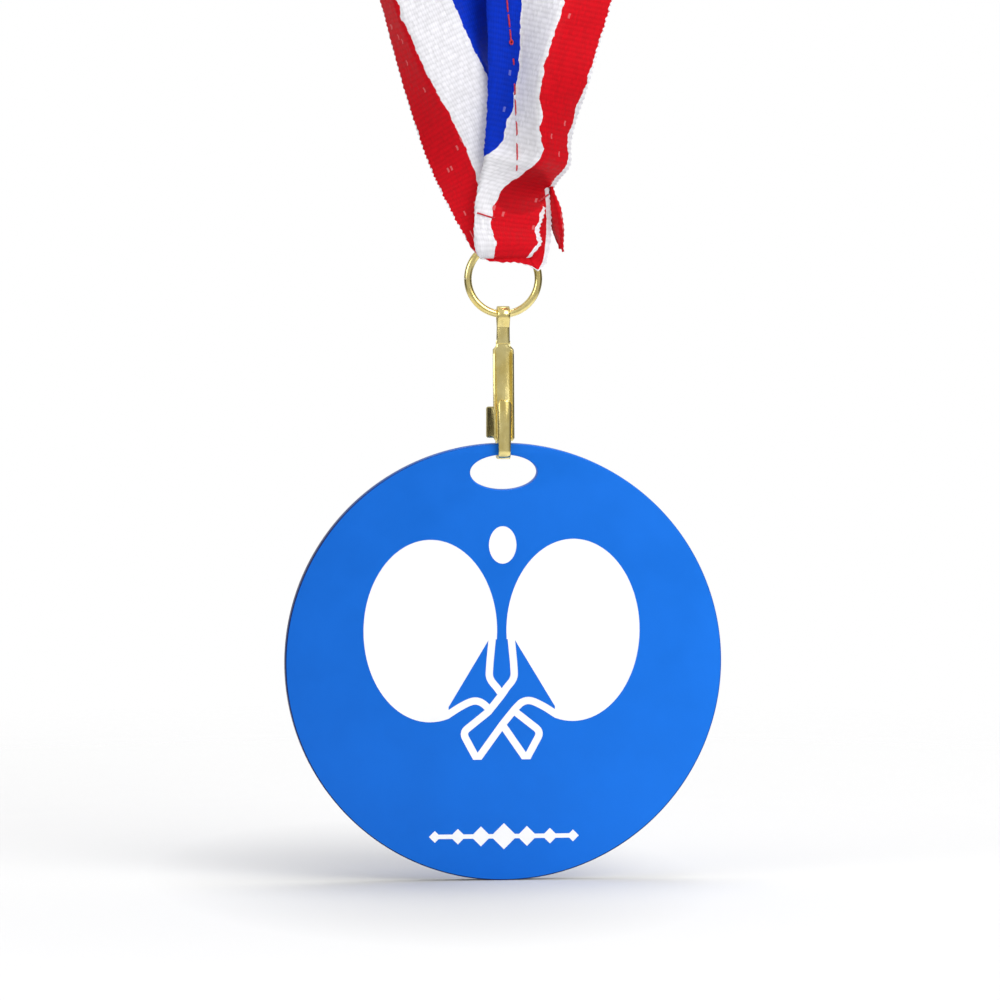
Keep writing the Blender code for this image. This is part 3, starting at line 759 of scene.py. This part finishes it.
def clothPiece(name, points, normals, trim, firstRow, span=(0.0, 1.0)):
    # ribs stand up on every second line, and the edges scallop with them; only a full-width piece gets the
    # flattened spot with its painted shade
    rows, columns = points.shape[0], points.shape[1] - 1
    pressedAndShaded = pressedAndShadedShare(points) * (span == (0.0, 1.0))
    up = np.where((np.arange(rows) + firstRow) % 2 == 0, 1.0, -1.0)[:, None, None]
    shape = points - normals * up * ribbon["ribDepth"] * (1 - 0.7 * pressedAndShaded[..., None])
    for edge, inner in ((0, 1), (-1, -2)):
        out = points[:, edge] - points[:, inner]
        out /= np.linalg.norm(out, axis=1)[:, None]
        shape[:, edge] += out * up[:, 0] * ribbon["scallop"]
    shape = shape * mm + np.array([0, midY, 0])
    faces = []
    for r in range(rows - 1):
        for c in range(columns):
            a = r * (columns + 1) + c
            faces.append((a, a + 1, a + columns + 2, a + columns + 1))
    piece = addPiece(name, shape.reshape(-1, 3), faces, ribbonCloth)
    layer = piece.data.uv_layers.new(name="cloth")
    u = np.tile(np.linspace(span[0], span[1], columns + 1), rows)
    v = np.repeat((np.arange(rows) + firstRow) / 2, columns + 1)
    corners = np.zeros(len(piece.data.loops), int)
    piece.data.loops.foreach_get("vertex_index", corners)
    layer.data.foreach_set("uv", np.stack([u[corners], v[corners]], 1).ravel())
    for label, values in (("trim", np.repeat(trim, columns + 1)), ("pressedAndShaded", pressedAndShaded.ravel())):
        piece.data.attributes.new(label, "FLOAT", "POINT").data.foreach_set("value", values)
    wall = piece.modifiers.new("wall", "SOLIDIFY")
    wall.thickness = ribbon["thickness"] * mm
    wall.offset = 0.0
    piece = plainMesh(piece)
    shadeRound(piece, 60)
    return piece


def makeRibbon():
    table, frontEnd, backStart = ribbonTable()
    places, length = ribPlaces(table)
    pieces = {}
    front = int(np.searchsorted(places, frontEnd))
    back = int(np.searchsorted(places, backStart))
    for name, low, high, columns in (
        ("ribbonFront", 0, front, ribbon["fineColumns"]),
        ("ribbonNeck", front, back, ribbon["plainColumns"]),
        ("ribbonBack", back, len(places) - 1, ribbon["fineColumns"]),
    ):
        points, normals, trim = (part[low : high + 1] for part in clothGrid(table, places, columns))
        piece = clothPiece(name, points, normals, trim, low)
        pieces[name] = (piece, (high - low) * ribbon["rib"] / 2)
    print("ribbon", round(length, 1), "mm long")
    return pieces


ribbonPieces = makeRibbon()


# cut tail of the ribbon, folded lengthwise, at the right of the ring

tail = {
    "top": (7.65, 75.9),
    "foot": (9.05, 65.8),
    "slant": 1.5,
    "line": (
        (0.75, -2.7),
        (0.45, -3.5),
        (0.0, -2.4),
        (-0.55, -0.4),
        (-0.4, 1.4),
        (0.4, 2.4),
        (0.5, 3.9),
        (-0.5, 5.0),
    ),
    "columns": 24,
    "span": (0.71, 0.96),
}


def makeTail():
    line = np.array(tail["line"])
    across = catmull(line, np.linspace(0, len(line) - 1, tail["columns"] + 1))
    rows = int(math.dist(tail["top"], tail["foot"]) / (ribbon["rib"] / 2)) + 1
    share = np.linspace(0, 1, rows)
    taper = 1 - 0.8 * smoothStep((0.4 - share) / 0.4)  # nearly a point at the top
    taper = taper * (1 - 0.5 * smoothStep((share - 0.6) / 0.4))
    points = np.zeros((rows, tail["columns"] + 1, 3))
    centre = np.outer(1 - share, tail["top"]) + np.outer(share, tail["foot"])
    points[..., 0] = centre[:, :1] + across[None, :, 0] * taper[:, None]
    points[..., 1] = across[None, :, 1] * taper[:, None]
    cut = tail["slant"] * (share**3)[:, None] * (0.6 - across[None, :, 0])  # cut off aslant at the foot
    points[..., 2] = centre[:, 1:] + cut
    ahead = np.gradient(points, axis=0)
    wide = np.gradient(points, axis=1)
    normals = np.cross(ahead, wide)
    normals /= np.linalg.norm(normals, axis=2)[..., None]
    width = np.linalg.norm(np.diff(across, axis=0), axis=1).sum()
    piece = clothPiece("ribbonTail", points, normals, np.zeros(rows), 0, span=tail["span"])
    return piece, width, math.dist(tail["top"], tail["foot"])


ribbonTail, tailWidth, tailLength = makeTail()
print("tail", round(tailWidth, 1), "by", round(tailLength, 1))


# sewing: thread laid along the cloth, built as curves with a round section

sewing = {
    "radius": 0.13,
    "stitches": (
        ((0.20, 106.5), (0.45, 103.6)),
        ((0.50, 103.4), (0.75, 101.2)),
        ((0.78, 101.0), (1.00, 98.7)),
        ((1.35, 96.3), (1.45, 95.3)),
        ((1.55, 92.4), (1.60, 90.5)),
        ((1.62, 89.9), (1.66, 87.3)),
        ((1.68, 86.4), (1.70, 84.1)),
        ((1.68, 83.0), (1.62, 80.1)),
        ((1.60, 79.5), (1.58, 78.6)),
    ),
    "proud": 0.10,
    "dip": 0.30,
    "knot": (1.0, 98.9),
    "knotHalf": (0.24, 0.12, 0.34),
    "cinch": ((-4.25, 71.8), (-3.2, 71.45), (-1.9, 71.1), (0.5, 70.9), (3.0, 71.6), (5.4, 73.4), (7.1, 74.6)),
    "sunkFrom": -1.8,
    "sunkTo": 5.7,
    "sunk": 0.16,
    "cinchBack": 4.2,
}


def surfaceFinder(pieces):
    # how far forward the cloth reaches at a place seen from the front
    trees = []
    for piece in pieces:
        corners = [tuple(face.vertices) for face in piece.data.polygons]
        trees.append(BVHTree.FromPolygons([vertex.co for vertex in piece.data.vertices], corners))

    def find(x, z):
        start = Vector((x * mm, -0.05, z * mm))
        hits = [tree.ray_cast(start, Vector((0, 1, 0)))[0] for tree in trees]
        near = [hit.y for hit in hits if hit is not None]
        return min(near) / mm if near else None

    return find


def threadTree():
    # a Geometry Nodes tree that lays a round thread along each polyline and gives it its material
    tree = bpy.data.node_groups.new("roundThread", "GeometryNodeTree")
    tree.interface.new_socket("Geometry", in_out="INPUT", socket_type="NodeSocketGeometry")
    radius = tree.interface.new_socket("Radius", in_out="INPUT", socket_type="NodeSocketFloat")
    tree.interface.new_socket("Geometry", in_out="OUTPUT", socket_type="NodeSocketGeometry")
    given = tree.nodes.new("NodeGroupInput")
    made = tree.nodes.new("NodeGroupOutput")
    path = tree.nodes.new("GeometryNodeMeshToCurve")
    section = tree.nodes.new("GeometryNodeCurvePrimitiveCircle")
    section.inputs["Resolution"].default_value = 10
    tube = tree.nodes.new("GeometryNodeCurveToMesh")
    tube.inputs["Fill Caps"].default_value = True
    smooth = tree.nodes.new("GeometryNodeSetShadeSmooth")
    realize = tree.nodes.new("GeometryNodeRealizeInstances")
    paint = tree.nodes.new("GeometryNodeSetMaterial")
    paint.inputs["Material"].default_value = threadCloth
    tree.links.new(given.outputs["Geometry"], path.inputs["Mesh"])
    tree.links.new(given.outputs["Radius"], section.inputs["Radius"])
    tree.links.new(path.outputs["Curve"], tube.inputs["Curve"])
    tree.links.new(section.outputs["Curve"], tube.inputs["Profile Curve"])
    tree.links.new(tube.outputs["Mesh"], smooth.inputs["Geometry"])
    tree.links.new(smooth.outputs["Geometry"], realize.inputs["Geometry"])
    tree.links.new(realize.outputs["Geometry"], paint.inputs["Geometry"])
    tree.links.new(paint.outputs["Geometry"], made.inputs["Geometry"])
    return tree, radius.identifier


roundThread, radiusSocket = threadTree()


def layThread(name, lines, radius):
    points, edges = [], []
    for line in lines:
        first = len(points)
        points += [tuple(np.array(point) * mm) for point in line]
        edges += [(i, i + 1) for i in range(first, len(points) - 1)]
    mesh = bpy.data.meshes.new(name)
    mesh.from_pydata(points, edges, [])
    piece = bpy.data.objects.new(name, mesh)
    scene.collection.objects.link(piece)
    grow = piece.modifiers.new("thread", "NODES")
    grow.node_group = roundThread
    grow[radiusSocket] = radius * mm
    return plainMesh(piece)


def makeSewing():
    front = surfaceFinder([ribbonPieces["ribbonFront"][0]])
    lines = []
    for start, end in sewing["stitches"]:
        line = []
        for step in range(9):
            share = step / 8
            x = start[0] + (end[0] - start[0]) * share
            z = start[1] + (end[1] - start[1]) * share
            dip = sewing["dip"] * (2 * share - 1) ** 6
            line.append((x, front(x, z) - sewing["proud"] + dip, z))
        lines.append(line)
    x, z = sewing["knot"]
    y = front(x, z) - 0.2
    wide, deep, tall = sewing["knotHalf"]
    knot = []
    for step in range(28):
        t = step * 0.7
        knot.append((x + wide * math.cos(t), y + deep * math.sin(2.1 * t), z + tall * math.sin(t)))
    lines.append(knot)
    return layThread("seamStitches", lines, sewing["radius"])


def makeCinch():
    # once round both layers; where it crosses the folded red cloth it sinks in out of sight
    front = surfaceFinder([ribbonPieces["ribbonFront"][0], ribbonPieces["ribbonBack"][0]])
    places = catmull(sewing["cinch"], np.linspace(0, len(sewing["cinch"]) - 1, 60))
    line = []
    for x, z in places:
        y = front(x, z)
        if y is not None:
            sunk = sewing["sunkFrom"] < x < sewing["sunkTo"]
            line.append((x, y + (sewing["sunk"] if sunk else -sewing["proud"]), z))
    lastX, lastY, lastZ = line[-1]
    firstX, firstY, firstZ = line[0]
    backY = midY / mm + sewing["cinchBack"]
    line += [(lastX + 0.45, lastY + 0.7, lastZ), (lastX + 0.9, (lastY + backY) / 2, lastZ)]
    line += [(lastX, backY, lastZ)]
    line += [((lastX + firstX) / 2, backY + 0.2, (lastZ + firstZ) / 2), (firstX, backY, firstZ)]
    line += [(firstX - 0.5, (firstY + backY) / 2, firstZ), (firstX - 0.3, firstY + 0.5, firstZ), line[0]]
    return layThread("cinchThread", [line], sewing["radius"])


seamStitches = makeSewing()
cinchThread = makeCinch()
print("sewing laid")


# disc, prints, ring and hook

discShape = {
    "bevel": 0.22,
    "sides": 256,
    "holeHeight": 30.4,
    "holeHalf": (5.4, 2.8),
    "holeSides": 128,
}
printLayer = {"proud": 0.02, "sunk": 0.01}
ringShape = {"height": 61.25, "radius": 5.65, "wire": 0.62, "split": 0.05, "around": 192}
softEdge = {"snap_hook": 0.10, "gate_leaf": 0.07}
weldGap = 1e-7


def loopCurve(data, points):
    spline = data.splines.new("POLY")
    spline.points.add(len(points) - 1)
    for place, (x, y) in zip(spline.points, points):
        place.co = (x * mm, y * mm, 0, 1)
    spline.use_cyclic_u = True


def ellipse(centre, half, count):
    turns = [2 * math.pi * i / count for i in range(count)]
    return [(centre[0] + half[0] * math.cos(t), centre[1] + half[1] * math.sin(t)) for t in turns]


def makeDisc():
    low, high = discLow / mm, discHigh / mm
    bevel = discShape["bevel"]
    data = bpy.data.curves.new("medalDisc", "CURVE")
    data.dimensions = "2D"
    data.fill_mode = "BOTH"
    data.extrude = ((high.y - low.y) / 2 - bevel) * mm
    data.bevel_depth = bevel * mm
    data.bevel_resolution = 4
    radius = (high.x - low.x) / 2
    loopCurve(data, ellipse((0, 0), (radius - bevel, radius - bevel), discShape["sides"]))
    wide, tall = discShape["holeHalf"]
    hole = ellipse((0, discShape["holeHeight"]), (wide + bevel, tall + bevel), discShape["holeSides"])
    loopCurve(data, hole)
    piece = bpy.data.objects.new("medalDisc", data)
    scene.collection.objects.link(piece)
    piece.matrix_world = Matrix.Translation((0, midY, 0)) @ Matrix.Rotation(math.pi / 2, 4, "X")
    piece = plainMesh(piece)
    mesh = bmesh.new()
    mesh.from_mesh(piece.data)
    bmesh.ops.remove_doubles(mesh, verts=mesh.verts, dist=weldGap)
    bmesh.ops.recalc_face_normals(mesh, faces=mesh.faces)
    mesh.to_mesh(piece.data)
    mesh.free()
    piece.data.materials.clear()
    piece.data.materials.append(discBlue)
    shadeRound(piece, 10)
    return piece


def nodeCopy(node, name, material):
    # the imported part's own shape as a plain mesh that can be refined
    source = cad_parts[node]
    mesh = source.data.copy()
    mesh.transform(source.matrix_world)
    mesh.name = name
    mesh.materials.clear()
    mesh.materials.append(material)
    piece = bpy.data.objects.new(name, mesh)
    scene.collection.objects.link(piece)
    work = bmesh.new()
    work.from_mesh(mesh)
    bmesh.ops.remove_doubles(work, verts=work.verts, dist=weldGap)
    bmesh.ops.dissolve_limit(work, angle_limit=math.radians(1), verts=work.verts, edges=work.edges)
    work.to_mesh(mesh)
    work.free()
    return piece


def makePrintLayer(node, name):
    # ink a few hundredths of a millimetre thick, straight on the disc's face
    piece = nodeCopy(node, name, whitePrint)
    proud, sunk = printLayer["proud"] * mm, printLayer["sunk"] * mm
    back = max(vertex.co.y for vertex in piece.data.vertices)
    for vertex in piece.data.vertices:
        vertex.co.y = discLow.y - proud if vertex.co.y < back - proud else discLow.y + sunk
    shadeRound(piece, 30)
    return piece


def makeSoftMetal(node, name):
    piece = nodeCopy(node, name, pressedBrass)
    edge = piece.modifiers.new("edge", "BEVEL")
    edge.width = softEdge[node] * mm
    edge.segments = 3
    edge.limit_method = "ANGLE"
    edge.angle_limit = math.radians(32)
    piece = plainMesh(piece)
    shadeRound(piece, 35)
    return piece


def makeRing():
    shape = ringShape
    half = shape["split"] / 2 / shape["radius"]
    turns = np.linspace(math.pi + half, 3 * math.pi - half, shape["around"])
    mesh = bpy.data.meshes.new("jumpRing")
    radius, height = shape["radius"] * mm, shape["height"] * mm
    points = [(radius * math.cos(t), midY, height + radius * math.sin(t)) for t in turns]
    mesh.from_pydata(points, [(i, i + 1) for i in range(len(points) - 1)], [])
    piece = bpy.data.objects.new("jumpRing", mesh)
    scene.collection.objects.link(piece)
    grow = piece.modifiers.new("wire", "NODES")
    grow.node_group = roundThread
    grow[radiusSocket] = shape["wire"] * mm
    piece = plainMesh(piece)
    piece.data.materials.clear()
    piece.data.materials.append(brass)
    shadeRound(piece, 50)
    return piece


medalDisc = makeDisc()
racketsPrint = makePrintLayer("rackets_print", "racketsPrint")
ballPrint = makePrintLayer("ball_print", "ballPrint")
borderPrint = makePrintLayer("border_print", "borderPrint")
snapHook = makeSoftMetal("snap_hook", "snapHook")
gateLeaf = makeSoftMetal("gate_leaf", "gateLeaf")
jumpRing = makeRing()
print("metal pieces ready")


# what each piece rides on; the front and back strands are left in place and ride on none

for name, nodes, rests in (
    ("ribbonFront", ("ribbon_front_strand", "ribbon_ring_loop"), ["jumpRing"]),
    ("ribbonBack", ("ribbon_back_strand",), ["jumpRing"]),
    ("ribbonNeck", ("ribbon_neck_arch",), ["ribbonFront", "ribbonBack"]),
):
    piece, length = ribbonPieces[name]
    if name == "ribbonNeck":
        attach(piece, "ribbon")
    else:
        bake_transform(piece)
    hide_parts(*nodes)
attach(ribbonTail, "ribbon")
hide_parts("ribbon_tail")
for piece, node, body, slot in (
    (seamStitches, "seam_thread", "ribbon", "thread"),
    (cinchThread, "cinch_thread", "ribbon", "thread"),
    (medalDisc, "medal_disc", "medal", "disc_metal"),
    (racketsPrint, "rackets_print", "medal", "print"),
    (ballPrint, "ball_print", "medal", "print"),
    (borderPrint, "border_print", "medal", "print"),
    (snapHook, "snap_hook", "clip", "brass"),
    (gateLeaf, "gate_leaf", "gate", "brass"),
    (jumpRing, "jump_ring", "ring", "brass"),
):
    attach(piece, body)
    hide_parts(node)
